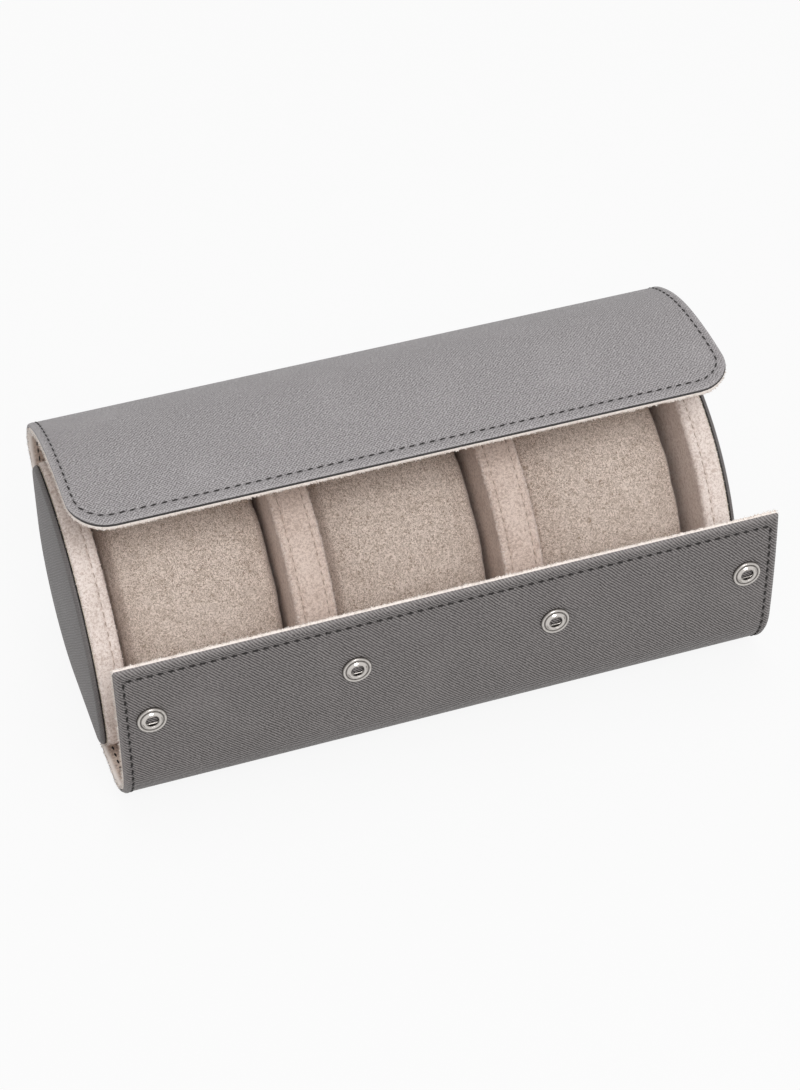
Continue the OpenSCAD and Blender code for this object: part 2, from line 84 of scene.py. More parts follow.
class Tone:
    def __init__(self, tree, socket=None):
        self.tree, self.socket = tree, socket

    def node(self, kind, settings=None, sockets=None, out=0):
        """A new node of the tree, as the tone of one of its outputs"""
        made = self.tree.nodes.new(kind)
        for key, value in (settings or {}).items():
            setattr(made, key, value)
        for key, value in (sockets or {}).items():
            if isinstance(value, Tone):
                self.tree.links.new(value.socket, made.inputs[key])
            else:
                made.inputs[key].default_value = value
        return Tone(self.tree, made.outputs[out])

    def math(self, operation, first, second=0.0):
        """A Math node on two tones or numbers"""
        return self.node("ShaderNodeMath", {"operation": operation}, {0: first, 1: second})

    def __add__(self, other): return self.math("ADD", self, other)
    def __radd__(self, other): return self.math("ADD", other, self)
    def __sub__(self, other): return self.math("SUBTRACT", self, other)
    def __rsub__(self, other): return self.math("SUBTRACT", other, self)
    def __mul__(self, other): return self.math("MULTIPLY", self, other)
    def __rmul__(self, other): return self.math("MULTIPLY", other, self)
    def __truediv__(self, other): return self.math("DIVIDE", self, other)
    def __pow__(self, other): return self.math("POWER", self, other)
    def fract(self): return self.math("FRACT", self)
    def size(self): return self.math("ABSOLUTE", self)
    def less(self, other): return self.math("MINIMUM", self, other)
    def more(self, other): return self.math("MAXIMUM", self, other)

    def between(self, low, high):
        """0 at low and 1 at high, smoothly"""
        return self.node("ShaderNodeMapRange", {"interpolation_type": "SMOOTHSTEP"},
                         {"Value": self, "From Min": low, "From Max": high})

    def colour(self, first, second):
        """From the first colour at 0 to the second at 1"""
        return self.node("ShaderNodeMix", {"data_type": "RGBA", "clamp_factor": True},
                         {0: self, 6: self.rgba(first), 7: self.rgba(second)}, 2)

    def rgba(self, value):
        return value if isinstance(value, Tone) else (*value, 1)

    def noise(self, where, scale, detail=3.0, rough=0.55, warp=0.0):
        """Noise from 0 to 1, with about this many waves to the metre"""
        return self.node("ShaderNodeTexNoise", {},
                         {"Vector": where, "Scale": scale, "Detail": detail, "Roughness": rough,
                          "Distortion": warp})

    def place(self):
        """Where the point is, in the piece's own space"""
        return self.node("ShaderNodeTexCoord", out=3)

    def parts(self):
        """The three numbers of a vector"""
        made = self.node("ShaderNodeSeparateXYZ", {}, {0: self}).socket.node.outputs
        return [Tone(self.tree, made[i]) for i in range(3)]

    def kept(self, name):
        """A number kept on the mesh's points"""
        return self.node("ShaderNodeAttribute", {"attribute_name": name}, out=2)


def new_material(name, **constants):
    """A material, its shader and a first Tone; the constants are set on the shader itself"""
    material = bpy.data.materials.new(name)
    material.use_nodes = True
    shader = material.node_tree.nodes["Principled BSDF"]
    for key, value in constants.items():
        shader.inputs[key.replace("_", " ")].default_value = value
    return material, shader, Tone(material.node_tree)


def finish_with(tone, shader, colour=None, rough=None, height=None, depth=0.0001):
    """Links what varies to the shader: the height goes through a Bump node"""
    links = tone.tree.links
    if colour is not None:
        links.new(colour.socket, shader.inputs["Base Color"])
    if rough is not None:
        links.new(rough.socket, shader.inputs["Roughness"])
    if height is not None:
        bump = tone.node("ShaderNodeBump", {}, {"Height": height, "Distance": depth, "Strength": 1.0})
        links.new(bump.socket, shader.inputs["Normal"])


def srgb(code):
    """A colour written as six hex digits, as linear light"""
    parts = [int(code[i:i + 2], 16) / 255 for i in (0, 2, 4)]
    return tuple(p / 12.92 if p <= 0.04045 else ((p + 0.055) / 1.055) ** 2.4 for p in parts)


# ---- The wrap's leather ----
# One sheet of grey cross-grained leather runs from under the case up its rear, over the fold and
# on as the lid, and a second from under the case round the front fold and up as the flap. The
# edges are turned and rounded, and a row of dark thread lies inside them. Lengths here are in
# millimetres; the section's y = 0 is the middle of the body's crown.

case_half = 105.0
leather_t, lining_t = 1.1, 1.5
sheet_t = leather_t + lining_t
rear_depth, rear_bottom_r = 11.0, 37.0
fold_z = 50.0
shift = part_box("base_leather")[1].y * 1000 - rear_depth - sheet_t


def bend(radius, turn):
    """A run that turns on a radius"""
    return (radius * math.radians(abs(turn)), turn)


def along(start, runs, distance):
    """The pose [y, z, heading] at a distance along a walk of (length, turn) runs"""
    y, z, heading = start
    for i, (length, turn) in enumerate(runs):
        last = i == len(runs) - 1
        share = distance / length if last else min(max(distance / length, 0), 1)
        if i == 0 and distance < 0:
            share = distance / length
        step, swing = length * share, math.radians(turn) * share
        if abs(swing) < 1e-7:
            y, z = y + step * math.cos(heading), z + step * math.sin(heading)
        else:
            radius = step / swing
            y += radius * (math.sin(heading + swing) - math.sin(heading))
            z -= radius * (math.cos(heading + swing) - math.cos(heading))
            heading += swing
        distance -= length
        if distance <= 0:
            break
    return y, z, heading


def total(runs):
    """The length of a walk"""
    return sum(run[0] for run in runs)


def on_sheet(start, runs, s, x, depth):
    """A point of the sheet in metres: s along the walk, x along the case, depth to the left"""
    y, z, heading = along(start, runs, s)
    return (x / 1000, (y - depth * math.sin(heading) + shift) / 1000,
            (z + depth * math.cos(heading)) / 1000)


def off_face(heading):
    """The way out of a face whose section is walked at this heading"""
    return Vector((0, math.sin(heading), -math.cos(heading)))


def spread(low, high, step, ends=()):
    """Stations from low to high, close together at the distances given from either end"""
    count = max(2, round((high - low) / step))
    places = {round(low + (high - low) * i / count, 4) for i in range(count + 1)}
    for d in ends:
        places |= {round(low + d, 4), round(high - d, 4)}
    kept = []
    for place in sorted(places):
        if not kept or place - kept[-1] > 0.12:
            kept.append(place)
    kept[-1] = high
    return kept


class Panel:
    """A sheet over a walk, from s0 to s1, with its two corners at s1 rounded and a seam inside.
    The seam is (distance from the ends, distance from the free edge, radius in the corners)."""

    groove_depth, groove_half, roll_w = 0.24, 0.4, 1.8

    def __init__(self, start, runs, s0, s1, corner_r, seam, puff, roll, side=1):
        self.start, self.runs, self.s0, self.s1 = start, runs, s0, s1
        self.corner_r, self.seam, self.puff, self.roll, self.side = corner_r, seam, puff, roll, side
        round_steps = [corner_r * (1 - math.cos(math.radians(a))) for a in range(6, 91, 6)]
        places = sorted(spread(s0, s1, 1.5, self.near(seam[1])) + [s1 - d for d in round_steps])
        self.rows = [s for s, after in zip(places, places[1:]) if after - s > 0.1 or s == s0] + [s1]
        self.columns = spread(-case_half, case_half, 3.0, self.near(seam[0]))

    def near(self, seam):
        """Distances from an edge that need a station, for its rounding and for the seam's groove"""
        return [0.35, 0.8, 1.4] + [seam + d for d in (-0.9, -0.5, -0.25, 0, 0.25, 0.5, 1.2, 2.6)]

    def half(self, s, inset):
        """Half the panel's width at s, when its outline is drawn in by an inset"""
        radius = max(self.corner_r - inset, 0.01)
        d = min(max(self.s1 - inset - s, 0), radius)
        return case_half - inset - radius + math.sqrt(max(radius ** 2 - (radius - d) ** 2, 0))

    def relief(self, s, x):
        """The turned border stands a little proud, and the thread draws the leather in"""
        rim, seam = self.rim(s, x), self.off_seam(s, x)
        puff = self.puff * math.sin(math.pi * min(max(rim / (rim - seam), 0), 1)) if seam < 0 else 0
        roll = self.roll * (max(self.roll_w - rim, 0) / 1.1) ** 2
        return self.groove_depth * math.exp(-(seam / self.groove_half) ** 2) - puff + roll

    def grid(self, inset, depth, face=False):
        """The panel's points at a depth, row by row, with each point's s and x"""
        span = (self.s1 - self.s0 - 2 * inset) / (self.s1 - self.s0)
        found = []
        for row in self.rows:
            s = self.s0 + inset + (row - self.s0) * span
            y, z, heading = along(self.start, self.runs, s)
            half = self.half(s, inset)
            for column in self.columns:
                x = column / case_half * half
                d = (depth + (self.relief(s, x) if face else 0)) * self.side
                found.append(((x / 1000, (y - d * math.sin(heading) + shift) / 1000,
                               (z + d * math.cos(heading)) / 1000), (s, x)))
        return found

    def edge(self):
        """Numbers of the points round the panel's outline"""
        rows, columns = len(self.rows), len(self.columns)
        return ([i for i in range(columns)] + [r * columns + columns - 1 for r in range(1, rows)]
                + [(rows - 1) * columns + i for i in range(columns - 2, -1, -1)]
                + [r * columns for r in range(rows - 2, 0, -1)])

    def inside(self, s, x, ends, free, radius):
        """Distance in from a line that runs along the ends and the free edge at these insets"""
        d, h = self.s1 - free - s, case_half - ends - abs(x)
        if d < radius and h < radius:
            return radius - math.hypot(radius - d, radius - h)
        return min(d, h)

    def rim(self, s, x):
        """Distance in from the panel's edge"""
        return self.inside(s, x, 0, 0, self.corner_r)

    def off_seam(self, s, x):
        """Distance in from the row of thread, and below 0 outside it"""
        return self.inside(s, x, *self.seam)

    def front(self, s):
        """1 along the free edge, falling to 0 where its rounded corners end; it keeps the painted edge
        shade to the front
        """
        return min(max(1.6 - 1.6 * (self.s1 - s) / self.corner_r, 0), 1)


def point_values(mesh, **values):
    """Numbers kept on a mesh's points, for its material"""
    for key, found in values.items():
        mesh.attributes.new(key, "FLOAT", "POINT").data.foreach_set("value", found)


def laid_out(mesh, flat):
    """The mesh's UV map, from the place of each of its points on the flat hide"""
    layout = mesh.uv_layers.new(name="UVMap")
    where = np.array([flat[loop.vertex_index] for loop in mesh.loops], float) * 0.001
    layout.data.foreach_set("uv", where.astype(np.float32).ravel())


def sheet_piece(name, panel, rings, pressed=False):
    """A closed sheet through rings of (inset, depth): the first is its face, the last its back"""
    columns, rows = len(panel.columns), len(panel.rows)
    edge = panel.edge()
    points, flat, faces, depths = [], [], [], []

    def keep(found, depth):
        first = len(points)
        points.extend(p for p, _ in found)
        flat.extend(q for _, q in found)
        depths.extend([depth] * len(found))
        return first

    def plane(first, turned):
        for r in range(rows - 1):
            for c in range(columns - 1):
                a = first + r * columns + c
                quad = (a, a + 1, a + columns + 1, a + columns)
                faces.append(quad[::-1] if turned else quad)

    face = keep(panel.grid(*rings[0], pressed), rings[0][1])
    loops = [[face + i for i in edge]]
    for inset, depth in rings[1:-1]:
        ring = panel.grid(inset, depth)
        first = keep([ring[i] for i in edge], depth)
        loops.append(list(range(first, first + len(edge))))
    back = keep(panel.grid(*rings[-1]), rings[-1][1])
    loops.append([back + i for i in edge])
    plane(face, True)
    plane(back, False)
    for one, two in zip(loops, loops[1:]):
        for k in range(len(edge)):
            n = (k + 1) % len(edge)
            faces.append((one[k], one[n], two[n], two[k]))
    if panel.side < 0:
        faces = [f[::-1] for f in faces]
    mesh = bpy.data.meshes.new(name)
    mesh.from_pydata(points, [], faces)
    piece = in_scene(name, mesh)
    laid_out(mesh, flat)
    # Only the lid's front edge keeps a sunk depth, and the flap keeps none: the leather paints shade there,
    # on the edge face turned from the light.
    point_values(mesh, rim=[panel.rim(s, x) for s, x in flat],
                 seam=[panel.off_seam(s, x) for s, x in flat],
                 sunk=[depth * panel.front(s) * (panel.side > 0) for depth, (s, _) in zip(depths, flat)])
    mesh.shade_smooth()
    mesh.validate()
    return piece


# From under the case, round the rear, over the rear fold and along the lid
under_start = (-36.0, 0.0, 0.0)
rear_flat = fold_z - rear_bottom_r - sheet_t
base_runs = [(10.0, 0), bend(rear_bottom_r + sheet_t, 90), (rear_flat, 0)]
fold_run = (8.6, -34)
lid_runs = [(21.5, 91), (27.5, 25.8), (35.9, 17.4)]
lid_side_runs = base_runs + [fold_run] + lid_runs
lid_panel = Panel(under_start, lid_side_runs, 0, total(lid_side_runs), corner_r=12.5,
                  seam=(2.6, 4.0, 9.5), puff=0.12, roll=0.1)
# From under the case, over the front fold and up the flap
wrap_front = -56.04
front_start = (-36.02, 0.0, math.pi)
front_run = (-36.02 - wrap_front, 0)
flap_fold_run = (8.0, -4)
flap_runs = [(4.9, 0), bend(19.6, -86), (41.4, -6)]
flap_side_runs = [front_run, flap_fold_run] + flap_runs
flap_panel = Panel(front_start, flap_side_runs, 0, total(flap_side_runs), corner_r=0.6,
                   seam=(2.75, 3.9, 0.5), puff=0.3, roll=0.3, side=-1)

# Round the leather's edge, from face to back, as (inset, depth)
lid_edge = [(0.75, 0.0), (0.42, 0.06), (0.17, 0.2), (0.03, 0.42), (0.0, 0.62), (0.05, 0.82), (0.3, 1.0),
            (0.7, leather_t)]
flap_edge = [(0.75, 0.0), (0.4, 0.34), (0.18, 0.5), (0.04, 0.68), (0.0, 0.84), (0.05, 0.98),
             (0.5, leather_t)]
lid_leather = sheet_piece("lid_side_leather", lid_panel, lid_edge, pressed=True)
flap_leather = sheet_piece("flap_side_leather", flap_panel, flap_edge, pressed=True)


def grained_leather(name, light, dark, main, cross, painted_edge_shade, loose=0.35, grit=0.9, breaks=0.4):
    """Cross-grained leather: fine ridges on both diagonals, in bundles where it is loose. Main and
    cross are the strengths of the two ways. Where a point keeps a sunk depth, the colour goes to
    the painted edge shade: painted shade on edge faces turned from the light and in crevices."""
    material, shader, tone = new_material(name, Specular_IOR_Level=0.4, IOR=1.45)
    place = tone.node("ShaderNodeUVMap", {"uv_map": "UVMap"})
    run, across = (part * 1000 for part in place.parts()[:2])
    slow = tone.noise(place, 110.0, 2.0)
    fine = tone.noise(place, 1500.0, 2.0)
    patch = tone.noise(place, 330.0, 3.0)
    bundle = tone.noise(place, 800.0, 2.0, 0.6).between(0.36, 0.64)
    falling = ((run + across) / 1.13 + slow * 1.3 + patch * breaks + fine * 0.3).fract()
    rising = ((run - across) / 0.99 + slow * 1.1 + patch * breaks + fine * 0.4).fract()
    ridge_a = (1 - (falling - 0.5).size() * 2).between(0.1, 0.85)
    ridge_b = (1 - (rising - 0.5).size() * 2).between(0.15, 0.9)
    ridge_a = ridge_a * (main * ((1 - loose) + bundle * loose * 1.6))
    ridge_b = ridge_b * (cross * ((1 - loose) + (1 - bundle) * loose * 1.6))
    grain = ridge_a.more(ridge_b) * 0.7 + (ridge_a + ridge_b) * 0.15
    rim, seam, sunk = tone.kept("rim"), tone.kept("seam"), tone.kept("sunk")
    pressed = 1 - seam.size().between(0.05, 0.8)
    mottle = tone.noise(place, 45.0, 4.0)
    speck = fine.between(0.6, 0.74)
    shade = (grain + (fine - 0.5) * grit + 0.05).colour(dark, light)
    shade = ((mottle - 0.5) * 0.5 + speck * 0.45 * grit).colour(shade, tuple(c * 1.35 for c in light))
    # Painted shade: darker along the seam's pressed groove.
    shade = (pressed * 0.12).colour(shade, tuple(c * 0.35 for c in dark))
    # Painted highlight: lighter within 1.6 mm of the edge, along the rolled border.
    shade = ((1 - rim.between(0.4, 1.6)) * 0.25).colour(shade, tuple(c * 1.3 for c in light))
    # Painted shade: dark where the point keeps a sunk depth, on the lid's front edge and in the crevice
    # behind the caps.
    shade = (sunk.between(0.05, 0.2) * (0.85 + 0.15 * slow)).colour(shade, painted_edge_shade)
    height = grain * 0.6 + fine * 0.35
    rough = 0.5 - grain * 0.1 + mottle * 0.12
    finish_with(tone, shader, shade, rough, height, 0.0002)
    return material


# The lid and the flap are one leather in two tones: the lid's lighter as lit from above, the flap's darker
# as painted shade on a face turned from the light.
lid_grain_lit = grained_leather("lid_leather_grain_lit", srgb("a9a5a6"), srgb("666263"), 0.8, 0.95,
                            srgb("1f1c1b"), loose=0.7, grit=1.5, breaks=1.1)
flap_grain_shaded = grained_leather("flap_leather_grain_shaded", srgb("8d8887"), srgb("2b2726"), 1.15, 0.25,
                             srgb("1c1918"), loose=0.25)
lid_leather.data.materials.append(lid_grain_lit)
flap_leather.data.materials.append(flap_grain_shaded)


def bend_with_lid(piece):
    """Bakes the piece's transform into its mesh. The piece is built already bent over the rear fold, and
    nothing here makes it bend with the lid
    """
    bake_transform(piece)


def bend_with_flap(piece):
    """Bakes the piece's transform into its mesh. The piece is built already bent over the front fold, and
    nothing here makes it bend with the flap
    """
    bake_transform(piece)


bend_with_lid(lid_leather)
bend_with_flap(flap_leather)
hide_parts("base_leather", "rear_fold_leather", "lid_leather")
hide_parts("flap_leather", "front_fold_leather")

# ---- The wrap's lining ----
# A pale pinkish suede is glued to the inside of the leather, over thin boards. Its cut edge is
# left raw all round, so a fuzzy pale line shows beside the leather's edge.

raw_inset = 0.12
lining_rings = [(0.75, leather_t), (0.5, 1.12), (0.22, 1.3), (raw_inset, 1.6), (raw_inset, 2.1),
                (0.25, 2.4), (0.6, sheet_t)]
lid_lining = sheet_piece("lid_side_lining", lid_panel, lining_rings)
flap_lining = sheet_piece("flap_side_lining", flap_panel, lining_rings)


def suede(name, light, dark, nap, curl=0.0, raw=None):
    """Napped suede: its nap is a tuft's size in metres. Tufts lie light or dark and may curl over,
    and a raw edge has its own colour."""
    material, shader, tone = new_material(name, Specular_IOR_Level=0.2, Sheen_Weight=0.35,
                                          Sheen_Roughness=0.5)
    place = tone.place()
    tufts = tone.noise(place, 1 / nap, 3.0, 0.6, 0.5)
    broad = tone.noise(place, 0.12 / nap, 2.0)
    fibres = tone.noise(place, 3.0 / nap, 2.0, 0.6)
    lie = (tufts - 0.5) * (3.0 - 2.1 * curl) + (broad - 0.5) * (0.7 - 0.4 * curl)
    lie = lie + (fibres - 0.5) * 1.1 + 0.56 + 0.1 * curl
    height = tufts * 0.7 + fibres * 0.3
    if curl:
        for size in (1.0, 1.45):
            swirl = tone.noise(place, size / nap, 1.0, 0.5, 1.6)
            strand = 1 - (swirl - 0.5).size().between(0.0, 0.11)
            lie = lie + (strand - 0.45) * (0.75 * curl)
            height = height + strand * (0.12 * curl)
    shade = lie.between(0.0, 1.0).colour(dark, light)
    if raw is not None:
        rim = tone.kept("rim")
        shade = (1 - rim.between(0.6, 1.9)).colour(shade, raw)
    finish_with(tone, shader, shade, 0.9 + (tufts - 0.5) * 0.1, height, nap * 0.4)
    return material


raw_tone = srgb("faf0e9")
lining_suede = suede("lining_suede", srgb("dccabd"), srgb("a8958a"), 0.0009, 0.0, raw_tone)
edge_suede = suede("edge_suede", srgb("fff8f2"), srgb("d9cbc0"), 0.0007)
for lining in (lid_lining, flap_lining):
    lining.data.materials.append(lining_suede)
bend_with_lid(lid_lining)
bend_with_flap(flap_lining)
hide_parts("base_lining", "rear_fold_lining", "lid_lining")
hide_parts("flap_lining", "front_fold_lining")

# ---- The thread of the wrap ----
# Dark grey waxed thread, sewn through leather and lining close inside the edges. Each stitch
# lies a little aslant in its dimple. The rows run up both ends and along the free edges.

stitch_pitch = 3.2


def sewing_tree():
    """Geometry Nodes that lay a stitch or tuft on each point, along its tangent and off its normal"""
    tree = bpy.data.node_groups.new("sewing", "GeometryNodeTree")
    face = tree.interface
    face.new_socket("Geometry", in_out="INPUT", socket_type="NodeSocketGeometry")
    sizes = {}
    for name, value in (("Stitch length", 0.0022), ("Thread width", 0.00062), ("Thread height", 0.0004)):
        socket = face.new_socket(name, in_out="INPUT", socket_type="NodeSocketFloat")
        socket.default_value = value
        sizes[name] = socket.identifier
    for name, value in (("Sides", 8), ("Rings", 6)):
        socket = face.new_socket(name, in_out="INPUT", socket_type="NodeSocketInt")
        socket.default_value = value
        sizes[name] = socket.identifier
    face.new_socket("Thread", in_out="INPUT", socket_type="NodeSocketMaterial")
    face.new_socket("Geometry", in_out="OUTPUT", socket_type="NodeSocketGeometry")
    add, link = tree.nodes.new, tree.links.new
    given, out = add("NodeGroupInput"), add("NodeGroupOutput")
    ball = add("GeometryNodeMeshUVSphere")
    link(given.outputs["Sides"], ball.inputs["Segments"])
    link(given.outputs["Rings"], ball.inputs["Rings"])
    ball.inputs["Radius"].default_value = 0.5
    size = add("ShaderNodeCombineXYZ")
    for i, name in enumerate(("Stitch length", "Thread width", "Thread height")):
        link(given.outputs[name], size.inputs[i])
    shaped = add("GeometryNodeTransform")
    link(ball.outputs["Mesh"], shaped.inputs["Geometry"])
    link(size.outputs[0], shaped.inputs["Scale"])
    smooth = add("GeometryNodeSetShadeSmooth")
    link(shaped.outputs[0], smooth.inputs["Geometry"])
    tangent, normal = add("GeometryNodeInputNamedAttribute"), add("GeometryNodeInputNamedAttribute")
    for node, name in ((tangent, "tangent"), (normal, "normal_out")):
        node.data_type = "FLOAT_VECTOR"
        node.inputs["Name"].default_value = name
    share = add("GeometryNodeInputNamedAttribute")
    share.data_type = "FLOAT"
    share.inputs["Name"].default_value = "share"
    first, second = add("FunctionNodeAlignRotationToVector"), add("FunctionNodeAlignRotationToVector")
    first.axis, second.axis, second.pivot_axis = "X", "Z", "X"
    link(tangent.outputs[0], first.inputs["Vector"])
    link(first.outputs[0], second.inputs["Rotation"])
    link(normal.outputs[0], second.inputs["Vector"])
    laid = add("GeometryNodeInstanceOnPoints")
    link(given.outputs["Geometry"], laid.inputs["Points"])
    link(smooth.outputs[0], laid.inputs["Instance"])
    link(second.outputs[0], laid.inputs["Rotation"])
    link(share.outputs[0], laid.inputs["Scale"])
    real, coat = add("GeometryNodeRealizeInstances"), add("GeometryNodeSetMaterial")
    link(laid.outputs[0], real.inputs[0])
    link(real.outputs[0], coat.inputs["Geometry"])
    link(given.outputs["Thread"], coat.inputs["Material"])
    link(coat.outputs[0], out.inputs[0])
    return tree, sizes


sewing, sewing_sizes = sewing_tree()


def sewn(name, spots, thread, length=1.7, width=0.4, height=0.34, sides=8, rings=6):
    """A plain mesh of stitches or tufts, one for each (point, tangent, normal), which may name its
    share of the size"""
    mesh = bpy.data.meshes.new(name + "_spots")
    mesh.from_pydata([s[0] for s in spots], [], [])
    for key, i in (("tangent", 1), ("normal_out", 2)):
        held = mesh.attributes.new(key, "FLOAT_VECTOR", "POINT")
        held.data.foreach_set("vector", np.array([s[i] for s in spots], np.float32).ravel())
    held = mesh.attributes.new("share", "FLOAT", "POINT")
    held.data.foreach_set("value", [s[3] if len(s) > 3 else 1.0 for s in spots])
    source = in_scene(name + "_spots", mesh)
    modifier = source.modifiers.new("sewing", "NODES")
    modifier.node_group = sewing
    values = (length / 1000, width / 1000, height / 1000, sides, rings)
    for identifier, value in zip(sewing_sizes.values(), values):
        modifier[identifier] = value
    for item in sewing.interface.items_tree:
        if item.name == "Thread":
            modifier[item.identifier] = thread
    bpy.context.view_layer.update()
    seen = source.evaluated_get(bpy.context.evaluated_depsgraph_get())
    stitched = bpy.data.meshes.new_from_object(seen)
    bpy.data.objects.remove(source)
    piece = in_scene(name, stitched)
    for key in ("tangent", "normal_out", "share"):
        if key in stitched.attributes:
            stitched.attributes.remove(stitched.attributes[key])
    return piece


def outline_path(panel, ends, free, radius, s_from):
    """(s, x) up one end of a panel, round its free edge and back down the other end"""
    half, top = case_half - ends, panel.s1 - free
    path = [(s_from, -half), (top - radius, -half)]
    for a in range(15, 91, 15):
        rise, drift = math.sin(math.radians(a)), math.cos(math.radians(a))
        path.append((top - radius + radius * rise, -half + radius - radius * drift))
    path += [(s, -x) for s, x in reversed(path)]
    return path


def spots_on(panel, path, pitch, lift, slant=0.12, phase=0.5):
    """Stitches at equal distances along a path of (s, x) on a panel, lifted off its face"""
    ends = [0.0]
    for (s0, x0), (s1, x1) in zip(path, path[1:]):
        ends.append(ends[-1] + math.hypot(s1 - s0, x1 - x0))
    count = round(ends[-1] / pitch)
    spots = []
    for k in range(count):
        d = ends[-1] * (k + phase) / count
        i = max(j for j in range(len(ends) - 1) if ends[j] <= d)
        share = (d - ends[i]) / (ends[i + 1] - ends[i])
        s, x = (a + (b - a) * share for a, b in zip(path[i], path[i + 1]))
        ds, dx = (b - a for a, b in zip(path[i], path[i + 1]))
        long = math.hypot(ds, dx)
        ds, dx = ds / long, dx / long
        ds, dx = ds - slant * dx, dx + slant * ds
        heading = along(panel.start, panel.runs, s)[2]
        normal = off_face(heading) * panel.side
        tangent = Vector((dx, ds * math.cos(heading), ds * math.sin(heading)))
        spots.append((on_sheet(panel.start, panel.runs, s, x, -lift * panel.side), tangent, normal))
    return spots


def thread_material(name, light, dark):
    """Twisted thread, with wax on it in places"""
    material, shader, tone = new_material(name, Specular_IOR_Level=0.4)
    place = tone.place()
    strands = tone.noise(place, 2600.0, 2.0)
    wax = tone.noise(place, 300.0, 2.0)
    finish_with(tone, shader, (strands * 0.7 + wax * 0.3).colour(dark, light), 0.45 + strands * 0.25,
                strands, 0.00012)
    return material


dark_thread = thread_material("waxed_dark_thread", srgb("241f1e"), srgb("0b0a0a"))
threads = []
for name, panel, s_from, sunk, width in (("lid_side_thread", lid_panel, 12, 0.04, 0.5),
                                         ("flap_side_thread", flap_panel, 4, -0.04, 0.72)):
    path = outline_path(panel, *panel.seam, s_from)
    spots = spots_on(panel, path, stitch_pitch, -sunk)
    spots += spots_on(panel, path, stitch_pitch, -sheet_t + 0.05, phase=0.02)
    threads.append(sewn(name, spots, dark_thread, 2.0, width, 0.4))
lid_thread, flap_thread = threads
bend_with_lid(lid_thread)
bend_with_flap(flap_thread)

# ---- The raw edge of the lining ----
# The lining's nap stands out all round its cut edge, so the pale line beside the leather is
# ragged. The same fine tufts stand on the edges of the walls.

chance = np.random.default_rng(7)
raw_pitch = 0.3


def raw_edge(panel, s_from):
    """Tufts of nap along the lining's edge, each leaning its own way"""
    path = outline_path(panel, raw_inset, raw_inset, panel.corner_r, s_from)
    spots = []
    for point, tangent, normal in spots_on(panel, path, raw_pitch, 0.0, slant=0.0):
        outwards = tangent.cross(normal) * panel.side
        lean, slope = chance.uniform(-0.8, 0.8), chance.uniform(-0.5, 0.5)
        inwards = -normal * (chance.uniform(1.5, 2.4) / 1000)
        spots.append((Vector(point) + inwards, outwards + tangent * lean + normal * slope, normal,
                      chance.uniform(0.55, 1.3)))
    return spots


lid_fuzz, flap_fuzz = (
    sewn(name, raw_edge(panel, 1), edge_suede, length=1.3, width=0.34, height=0.3, sides=4, rings=3)
    for name, panel in (("lid_side_lining_fuzz", lid_panel), ("flap_side_lining_fuzz", flap_panel)))
bend_with_lid(lid_fuzz)
bend_with_flap(flap_fuzz)

# ---- The end walls and dividers ----
# Dense padded boards, each wrapped in pale suede and sewn near its edges. They are glued to the
# lining, stand between the pockets and carry the case's round front.

crown_r, crown_turn, crown_z, rear_top_r = 63.0, 77, sheet_t + 0.9, 8.5
low_run = (6.0, 8)
pocket_w, divider_t, cap_x = 55.0, 13.0, 104.2
divider_x = pocket_w / 2
inner_x = divider_x + divider_t + pocket_w
section_points = 132
front_runs = [bend(crown_r, crown_turn), low_run]
nose_start = along((0, crown_z + crown_r, math.pi), front_runs, total(front_runs))
nose_turn = 180 - crown_turn - low_run[1]
nose_r = (nose_start[1] - sheet_t) / (1 - math.cos(math.radians(nose_turn)))
body_start = (rear_depth - rear_bottom_r, sheet_t, 0.0)
body_runs = [bend(rear_bottom_r, 90), (crown_z + crown_r - rear_top_r - sheet_t - rear_bottom_r, 0),
             bend(rear_top_r, 90), (rear_depth - rear_top_r, 0), *front_runs,
             bend(nose_r, nose_turn)]
body_len = total(body_runs)


def loop_points(start, runs, count, inset):
    """Points round a closed section, drawn in by an inset"""
    length = total(runs)
    found = []
    for k in range(count + 1):
        y, z, heading = along(start, runs, min(length * k / count, length - 1e-6))
        found.append((y - inset * math.sin(heading), z + inset * math.cos(heading)))
    return found


def ringed_piece(name, rings, start, runs, count, shape=None):
    """A closed form through (x, inset) rings of a section, its ends filled flat"""
    mesh = bpy.data.meshes.new(name)
    form = bmesh.new()
    loops = []
    for x, inset in rings:
        loop = []
        for k, (y, z) in enumerate(loop_points(start, runs, count, inset)):
            point = (x / 1000, (y + shift) / 1000, z / 1000)
            loop.append(form.verts.new(shape(point, k / count) if shape else point))
        loops.append(loop)
    for one, two in zip(loops, loops[1:]):
        for k in range(len(one)):
            n = (k + 1) % len(one)
            form.faces.new((one[k], one[n], two[n], two[k]))
    form.faces.new(loops[0][::-1])
    form.faces.new(loops[-1])
    bmesh.ops.recalc_face_normals(form, faces=form.faces)
    form.to_mesh(mesh)
    form.free()
    piece = in_scene(name, mesh)
    mesh.shade_smooth()
    return piece


wall_edge_r, wall_stitch_pitch, wall_tuft_pitch = 1.6, 3.1, 0.42
wall_seam, divider_seam = 2.9, 2.6


